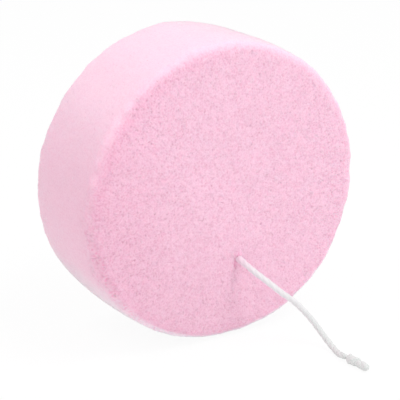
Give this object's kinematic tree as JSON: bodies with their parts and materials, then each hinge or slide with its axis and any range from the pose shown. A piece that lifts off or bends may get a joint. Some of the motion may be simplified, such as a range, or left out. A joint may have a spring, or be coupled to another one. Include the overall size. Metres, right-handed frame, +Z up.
{
  "type": "facial cleansing sponge",
  "caption": "Thick round cleansing sponge of soft pink foam that stands on its rim, with a thin white cotton cord threaded through it and knotted, to hold or hang it by.",
  "frame": {"origin": "on the surface that the disc stands on, under the middle of the disc, halfway through its thickness; the free cord isn't counted", "axes": "+Z up; +Y through the disc's thickness from the front face, where the cord comes out, to the back face; +X to the right seen from the front"},
  "size_m": [0.08, 0.0667, 0.0795],
  "materials": {
    "foam": "matt pink flexible foam with fine open cells, cut faces a little deeper in colour than the paler, smoother side",
    "cord": "matt white twisted cotton, slightly fuzzy"
  },
  "bodies": {
    "root": {"foam_disc": "foam", "cord_inner_run": "cord", "cord_free_run": "cord", "cord_end_knot": "cord", "cord_end_tail": "cord", "anchor_knot": "cord", "anchor_tail": "cord"}
  },
  "joints": []
}
